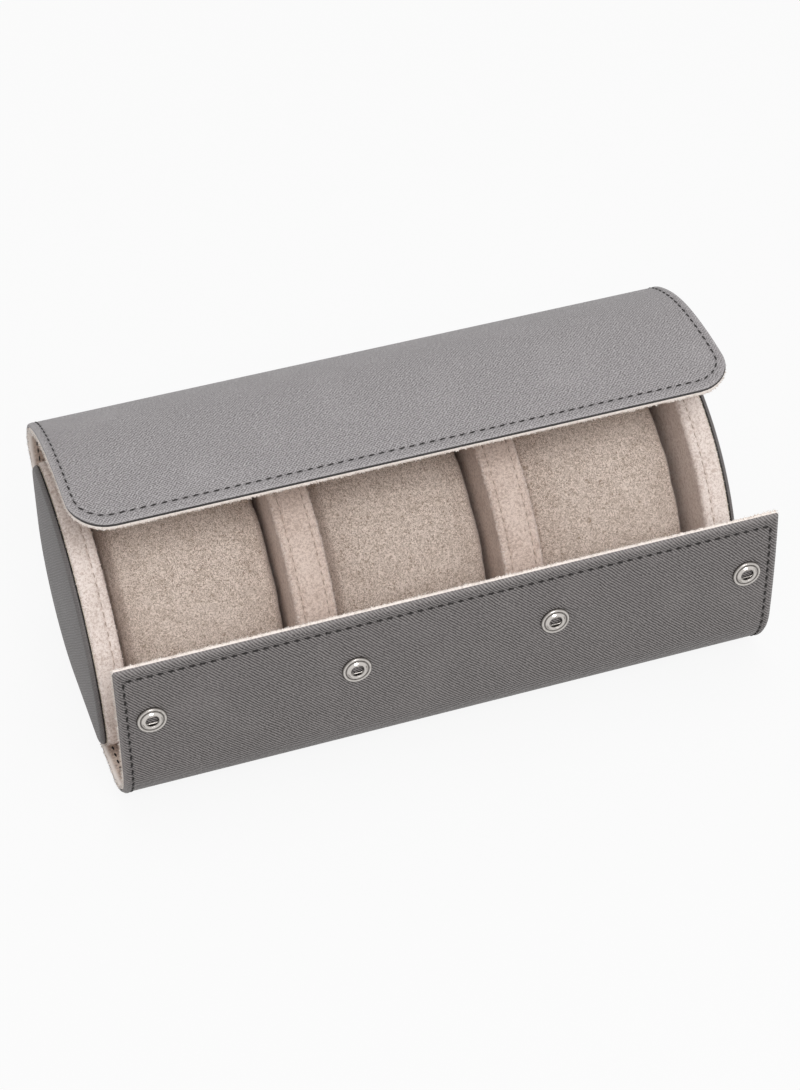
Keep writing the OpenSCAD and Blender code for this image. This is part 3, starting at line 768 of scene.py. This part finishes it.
def wall_rings(x0, x1, seams):
    """Insets across a wall's thickness: soft edges, and a dip along each seam"""
    rounding = (0, 0.1, 0.3, 0.6, 1.0, wall_edge_r)
    places = sorted({round(x0 + d, 3) for d in rounding} | {round(x1 - d, 3) for d in rounding}
                    | {round(s + d, 3) for s in seams for d in (-0.8, -0.45, -0.2, 0, 0.2, 0.45, 0.8)}
                    | {round(x0 + (x1 - x0) * i / 8, 3) for i in range(9)})
    rings = []
    for x in places:
        d = min(x - x0, x1 - x)
        rest = wall_edge_r - min(d, wall_edge_r)
        inset = wall_edge_r - math.sqrt(max(wall_edge_r ** 2 - rest ** 2, 0))
        inset += sum(0.4 * math.exp(-((x - s) / 0.36) ** 2) for s in seams)
        rings.append((x, inset))
    return [(x0, 8.0), (x0, 2.4)] + rings + [(x1, 2.4), (x1, 8.0)]


def wall_spots(x, lift=0.3):
    """Stitches over the wall's top and down its front"""
    first = total(body_runs[:2]) + 4
    last = body_len - 9
    spots = []
    count = round((last - first) / wall_stitch_pitch)
    for k in range(count):
        y, z, heading = along(body_start, body_runs, first + (last - first) * (k + 0.5) / count)
        y, z = y - lift * math.sin(heading), z + lift * math.cos(heading)
        spots.append(((x / 1000, (y + shift) / 1000, z / 1000),
                      Vector((0.06, math.cos(heading), math.sin(heading))), off_face(heading)))
    return spots


wall_suede = suede("wall_suede", srgb("fbefe8"), srgb("cfbdb3"), 0.0008, 0.35)
# The dividers' suede is the walls' suede made darker: painted shade, for the lid's shade over them.
divider_suede = suede("divider_suede", srgb("f2e1d6"), srgb("c2aca0"), 0.0008, 0.35)
pale_thread = thread_material("beige_thread", srgb("b9a798"), srgb("86766a"))


def edge_tufts(x, side):
    """Tufts of nap that stand out of a wall's edge, over its top and down its front"""
    first, last = total(body_runs[:2]) - 2, body_len - 4
    spots = []
    for k in range(round((last - first) / wall_tuft_pitch)):
        y, z, heading = along(body_start, body_runs, first + (k + chance.random()) * wall_tuft_pitch)
        inset = wall_edge_r * chance.uniform(0.1, 0.9)
        swing = chance.uniform(-0.9, 0.9)
        point = ((x - side * (wall_edge_r - inset) * 0.35) / 1000,
                 (y - inset * math.sin(heading) + shift) / 1000,
                 (z + inset * math.cos(heading)) / 1000)
        spots.append((point, Vector((side, math.cos(heading) * swing, math.sin(heading) * swing)),
                      off_face(heading), chance.uniform(0.5, 1.3)))
    return spots


walls = {
    "end_wall_left": (-cap_x, -inner_x, [-inner_x - wall_seam]),
    "end_wall_right": (inner_x, cap_x, [inner_x + wall_seam]),
    "divider_left": (-divider_x - divider_t, -divider_x,
                     [-divider_x - divider_t + divider_seam, -divider_x - divider_seam]),
    "divider_right": (divider_x, divider_x + divider_t,
                      [divider_x + divider_seam, divider_x + divider_t - divider_seam]),
}
wall_stitches, wall_tufts = [], []
for name, (x0, x1, seams) in walls.items():
    wall = ringed_piece(name + "_suede", wall_rings(x0, x1, seams), body_start, body_runs, section_points)
    wall.data.materials.append(divider_suede if name.startswith("divider") else wall_suede)
    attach(wall, "base")
    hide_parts(name + "_cover")
    for seam in seams:
        wall_stitches += wall_spots(seam)
    for x, side in ((x0 + 0.15, -1), (x1 - 0.15, 1)):
        wall_tufts += edge_tufts(x, side)
wall_thread = sewn("wall_thread", wall_stitches, pale_thread, length=1.9, width=0.24, height=0.26)
wall_fuzz = sewn("wall_fuzz", wall_tufts, wall_suede, length=1.5, width=0.42, height=0.36, sides=4, rings=3)
for piece in (wall_thread, wall_fuzz):
    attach(piece, "base")

# ---- The end caps ----
# Each end is closed by a board padded and covered in the same grained leather, pressed to a
# rounded rim and glued to the end wall's outside.

cap_rim, cap_swell, cap_t, cap_inset = 1.6, 0.6, 2.5, 0.6
cap_middle = (-18.0, 32.0)


def end_cap(name, side):
    """Rings of (x, inset, share of the way to the cap's middle), from the glued back to the face"""
    rings = [(1.05, cap_inset + 1.6, 0), (0.0, cap_inset + 1.4, 0), (0.0, cap_inset + 0.9, 0),
             (0.15, cap_inset + 0.4, 0), (0.4, cap_inset + 0.08, 0)]
    for a in range(20, 86, 8):
        rings.append((cap_t - cap_swell - cap_rim + cap_rim * math.sin(math.radians(a)),
                      cap_inset + cap_rim * (1 - math.cos(math.radians(a))), 0))
    for share in (0.01, 0.03, 0.06, 0.1, 0.16, 0.24, 0.34, 0.45, 0.6, 0.75, 0.9, 0.97):
        rings.append((cap_t - cap_swell * (1 - share) ** 4, cap_inset + cap_rim, share))
    form = bmesh.new()
    loops, flat = [], []
    for x, inset, share in rings:
        around = loop_points(body_start, body_runs, section_points, inset)
        loops.append([form.verts.new((side * (cap_x + x) / 1000,
                                      (y + (cap_middle[0] - y) * share + shift) / 1000,
                                      (z + (cap_middle[1] - z) * share) / 1000)) for y, z in around])
        unrolled = inset - (cap_t - x if share == 0 else 0)
        flat += [(y + (cap_middle[0] - y) * share, z + (cap_middle[1] - z) * share)
                 for y, z in loop_points(body_start, body_runs, section_points, unrolled)]
    for one, two in zip(loops, loops[1:]):
        for k in range(len(one)):
            n = (k + 1) % len(one)
            form.faces.new((one[k], one[n], two[n], two[k]))
    form.faces.new(loops[0])
    form.faces.new(loops[-1])
    bmesh.ops.recalc_face_normals(form, faces=form.faces)
    mesh = bpy.data.meshes.new(name)
    form.to_mesh(mesh)
    form.free()
    piece = in_scene(name, mesh)
    mesh.shade_smooth()
    laid_out(mesh, flat)
    # The back 0.6 mm of the cap keeps a sunk depth, so its leather paints shade into the crevice between
    # cap and wall.
    depths = [max(0.6 - (abs(v.co.x) * 1000 - cap_x), 0) for v in mesh.vertices]
    far = [20.0] * len(depths)
    point_values(mesh, rim=far, seam=far, sunk=depths)
    mesh.materials.append(cap_grain_shaded)
    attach(piece, "base")
    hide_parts(name)


# The caps are the same leather made darker: painted shade, for ends turned from the light.
cap_grain_shaded = grained_leather("cap_leather_grain_shaded", srgb("7b7776"), srgb("545050"), 0.6, 0.7,
                            srgb("1e1b1b"), loose=0.5, grit=0.8, breaks=0.8)
end_cap("end_cap_left_leather", -1)
end_cap("end_cap_right_leather", 1)

# ---- The pillows ----
# A loose foam pillow fills each pocket: a sleeve of beige napped suede round the foam, with a
# panel sewn into each end, so the cover is crowned in the middle and drawn in at its seams.

pillow_gap, pillow_crown, pillow_edge = 1.6, 0.9, 1.8
pillow_w = pocket_w - 2 * pillow_gap
pillow_off = (1.0, 0.7, -0.3)
pillow_middle = (-18.0, 28.0)
pillow_r, pillow_turn = 55.0, 66
pillow_floor, pillow_rear = sheet_t + 0.6, rear_depth - 0.8
pillow_nose_r = 13.0
pillow_bottom_r, pillow_top_r = rear_bottom_r - 0.8, 9.5
crown_bend = bend(pillow_r, pillow_turn)
front_end = along((0, crown_z + pillow_r, math.pi), [crown_bend], crown_bend[0])
nose_rest = math.radians(180 - pillow_turn)
nose_drop = pillow_nose_r * (1 - math.cos(nose_rest))
pillow_front = (front_end[1] - pillow_floor - nose_drop) / math.sin(nose_rest)
pillow_start = (pillow_rear - pillow_bottom_r, pillow_floor, 0.0)
pillow_runs = [bend(pillow_bottom_r, 90),
               (crown_z + pillow_r - pillow_top_r - pillow_floor - pillow_bottom_r, 0),
               bend(pillow_top_r, 90), (pillow_rear - pillow_top_r, 0), crown_bend, (pillow_front, 0),
               bend(pillow_nose_r, 180 - pillow_turn)]
pillow_suede = suede("pillow_suede", srgb("fff1e7"), srgb("a6917f"), 0.0009, 1.0)


def swollen(piece, reach):
    """Blows the pillow's cover up over its foam, no point further than its reach. Cloth is tuned
    for larger things, so it is simulated at ten times its size."""
    scale = 10.0
    mesh = piece.data
    for vertex in mesh.vertices:
        vertex.co *= scale
    remesh = piece.modifiers.new("remesh", "REMESH")
    remesh.mode, remesh.voxel_size, remesh.use_smooth_shade = "VOXEL", 0.0017 * scale, True
    bpy.context.view_layer.update()
    seen = piece.evaluated_get(bpy.context.evaluated_depsgraph_get())
    fresh = bpy.data.meshes.new_from_object(seen)
    piece.modifiers.remove(remesh)
    piece.data = fresh
    start = np.array([v.co[:] for v in fresh.vertices])
    cloth = piece.modifiers.new("cloth", "CLOTH")
    cloth.settings.use_pressure, cloth.settings.uniform_pressure_force = True, 5.0
    cloth.settings.effector_weights.gravity = 0
    cloth.settings.quality = 4
    cloth.settings.tension_stiffness = cloth.settings.compression_stiffness = 12
    cloth.settings.bending_stiffness = 0.3
    for number in range(1, 15):
        bpy.context.scene.frame_set(number)
    seen = piece.evaluated_get(bpy.context.evaluated_depsgraph_get())
    moved = np.array([v.co[:] for v in seen.data.vertices]) - start
    piece.modifiers.remove(cloth)
    bpy.context.scene.frame_set(1)
    far = np.linalg.norm(moved, axis=1, keepdims=True)
    limit = reach / 1000 * scale
    moved *= np.tanh(far / limit) * limit / np.maximum(far, 1e-9)
    placed = (start + moved) / scale
    fresh.vertices.foreach_set("co", placed.astype(np.float32).ravel())
    fresh.update()


def pillow_cover(name, centre, seed):
    """The cover before it swells: crowned rings along the case, and slack dents toward its ends"""
    rng = np.random.default_rng(seed)
    waves = [(rng.uniform(40, 160), rng.uniform(2, 9), rng.uniform(0, 6.3), rng.uniform(0.15, 0.4))
             for _ in range(7)]
    rings = []
    room = 1.5
    steps = 22
    for k in range(-steps, steps + 1):
        share = math.sin(math.radians(90 * k / steps))
        drawn_in = 1 - math.sqrt(1 - min(abs(share), 1) ** 26)
        rings.append((centre + share * (pillow_w / 2 - room),
                      room + pillow_crown * share ** 2 + pillow_edge * drawn_in))
    first, last = rings[0][0], rings[-1][0]
    rings = [(first, 8.0), (first, 4.5)] + rings + [(last, 4.5), (last, 8.0)]

    def crumple(point, share):
        x = point[0]
        reach = min(abs(x * 1000 - centre) / (pillow_w / 2), 1)
        dent = sum(size * (1 + math.sin(rate * x * 1.3 + turns * share * 6.283 + phase)) / 2
                   for rate, turns, phase, size in waves) * 0.001 * (0.25 + 0.75 * reach ** 2) * 0.6
        middle = Vector((x, (pillow_middle[0] + shift) / 1000, pillow_middle[1] / 1000))
        inwards = (middle - Vector(point)).normalized()
        return Vector(point) + inwards * dent

    return ringed_piece(name, rings, pillow_start, pillow_runs, 110, crumple)


for i, name in enumerate(("left", "middle", "right")):
    centre = (i - 1) * (pocket_w + divider_t) + pillow_off[i]
    pillow = pillow_cover(f"pillow_{name}_suede", centre, 40 + i)
    swollen(pillow, 1.1)
    pillow.data.shade_smooth()
    smooth = pillow.modifiers.new("smooth", "SUBSURF")
    smooth.levels = smooth.render_levels = 1
    pillow.data.materials.append(pillow_suede)
    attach(pillow, f"pillow_{name}")
    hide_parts(f"pillow_{name}_cover", f"pillow_{name}_end_panels", f"pillow_{name}_foam")

# ---- The press studs ----
# Four nickel-plated sockets are set in the flap, each with a ball spring of steel wire across
# its mouth, held by an eyelet from behind. Their studs are riveted inside the lid's front edge.

socket_pitch, socket_in = 63.3333, 20.5


def plated(name, light, dark, rough, worn, metal=1.0):
    """Metal that is dull and dark where it is worn"""
    material, shader, tone = new_material(name, Metallic=metal)
    place = tone.place()
    blotch = tone.noise(place, 700.0, 3.0)
    scratch = tone.noise(place, 3800.0, 2.0)
    tarnish = (blotch * 0.7 + scratch * 0.3).between(0.45, 0.75) * worn
    finish_with(tone, shader, tarnish.colour(light, dark), rough + tarnish * 0.3 + scratch * 0.06,
                scratch, 0.00001)
    return material


def socket_plate():
    """Nickel with random tarnish, darker in the socket's groove, round its foot and inside its lip: painted
    shade and dark reflection in these hollows
    """
    y0, z0, heading = along(front_start, flap_side_runs, total(flap_side_runs) - socket_in)
    material, shader, tone = new_material("socket_nickel", Metallic=1.0)
    place = tone.place()
    x, y, z = (part * 1000 for part in place.parts())
    across = ((x / socket_pitch).fract() - 0.5) * socket_pitch
    up = (y - (y0 + shift)) * math.cos(heading) + (z - z0) * math.sin(heading)
    radius = (across * across + up * up) ** 0.5
    # Painted shade: the groove, the foot and the lip are darkened for shade and dark reflection.
    groove = 1 - (radius - 3.55).size().between(0.1, 0.45)
    foot = radius.between(4.25, 4.6)
    lip = 1 - radius.between(2.0, 2.3)
    blotch = tone.noise(place, 900.0, 3.0)
    scratch = tone.noise(place, 4200.0, 2.0)
    tarnish_and_painted_shade = (groove * (0.5 + 0.6 * blotch)).more(foot * 0.85).more(lip * 0.5).more((blotch - 0.55) * 1.6)
    finish_with(tone, shader, tarnish_and_painted_shade.colour(srgb("cbc6c1"), srgb("3c3633")),
                0.14 + tarnish_and_painted_shade * 0.4 + scratch * 0.08, blotch * 0.7 + scratch * 0.3, 0.00005)
    return material


def coated(name, material):
    """The CAD's own piece shows, in this material"""
    nodes[name].data.materials.clear()
    nodes[name].data.materials.append(material)


nickel = plated("nickel_plate", srgb("d9d4cf"), srgb("8f867e"), 0.2, 0.8)
wire = plated("spring_wire", srgb("b5b0ab"), srgb("5a5450"), 0.2, 0.5)
# The eyelets are near-black and not metallic: painted shade for the dark inside of each socket's mouth.
shaded_nickel = plated("shaded_nickel", srgb("1d1a19"), srgb("0c0b0a"), 0.6, 0.5, metal=0.0)
plain_steel = plated("plain_steel", srgb("a8a5a2"), srgb("6f6a66"), 0.35, 0.6)
coated("flap_sockets", socket_plate())
coated("flap_eyelets", shaded_nickel)
coated("flap_socket_springs", wire)
coated("lid_studs", nickel)
coated("lid_stud_rivets", plain_steel)

# ---- The boards and cores inside ----
# Grey board stiffens the wrap between its folds and backs the end caps, and light board blocks
# fill the walls. Nothing of them shows on the finished case.


def fibre_board(name, light, dark):
    """Pressed board, mottled by its pulp"""
    material, shader, tone = new_material(name, Specular_IOR_Level=0.3)
    place = tone.place()
    pulp = tone.noise(place, 900.0, 4.0)
    finish_with(tone, shader, pulp.colour(dark, light), 0.8 + pulp * 0.15, pulp, 0.0001)
    return material


grey_board = fibre_board("grey_board", srgb("958d82"), srgb("776f66"))
core_board = fibre_board("core_board", srgb("d9cfbf"), srgb("b9ae9c"))
for name in nodes:
    if name.endswith("_board"):
        coated(name, grey_board)
    if name.endswith("_core"):
        coated(name, core_board)

# ---- The table and the light ----
# A white table in a white room. One large soft light stands above the front and a weaker one
# overhead, and the rest of the light comes from all round.


def looked_at(tone):
    """1 for what the camera and mirrors see, and 0 for the light that falls on things"""
    path = tone.node("ShaderNodeLightPath").socket.node.outputs
    camera_ray, mirrored, through = (
        Tone(tone.tree, path[f"Is {kind} Ray"]) for kind in ("Camera", "Glossy", "Transmission"))
    return (camera_ray + mirrored + through).less(1.0)


floor_half, floor_z = 4.0, -0.0002
floor_mesh = bpy.data.meshes.new("floor")
floor_corners = ((-1, -1), (1, -1), (1, 1), (-1, 1))
floor_mesh.from_pydata([(x * floor_half, y * floor_half, floor_z) for x, y in floor_corners], [],
                       [(0, 1, 2, 3)])
floor = in_scene("floor", floor_mesh)
white, shader, tone = new_material("white_table", Base_Color=(0.6, 0.6, 0.6, 1), Roughness=0.8)
glow = tone.node("ShaderNodeEmission", {}, {"Color": (1, 1, 1, 1), "Strength": 1.0})
mixed = tone.node("ShaderNodeMixShader", {},
                  {0: looked_at(tone) * 0.9, 1: Tone(tone.tree, shader.outputs[0]), 2: glow})
tone.tree.links.new(mixed.socket, tone.tree.nodes["Material Output"].inputs["Surface"])
floor_mesh.materials.append(white)

world = bpy.data.worlds.new("room")
bpy.context.scene.world = world
world.use_nodes = True
sky = Tone(world.node_tree)
background = world.node_tree.nodes["Background"]
background.inputs["Color"].default_value = (1, 1, 1, 1)
strength = looked_at(sky) * 0.4 + 0.6
sky.tree.links.new(strength.socket, background.inputs["Strength"])


def soft_light(name, place, target, size, power):
    """A round area light at a place, turned to its target"""
    light = bpy.data.lights.new(name, "AREA")
    light.shape, light.size, light.energy = "DISK", size, power
    lamp = in_scene(name, light)
    lamp.location = place
    lamp.rotation_euler = (Vector(target) - Vector(place)).to_track_quat("-Z", "Y").to_euler()


soft_light("key", (0.0, -1.0, 1.25), (0, 0, 0.04), 0.7, 11.0)
soft_light("top", (0.1, 0.25, 1.5), (0, 0, 0.05), 0.8, 4.0)
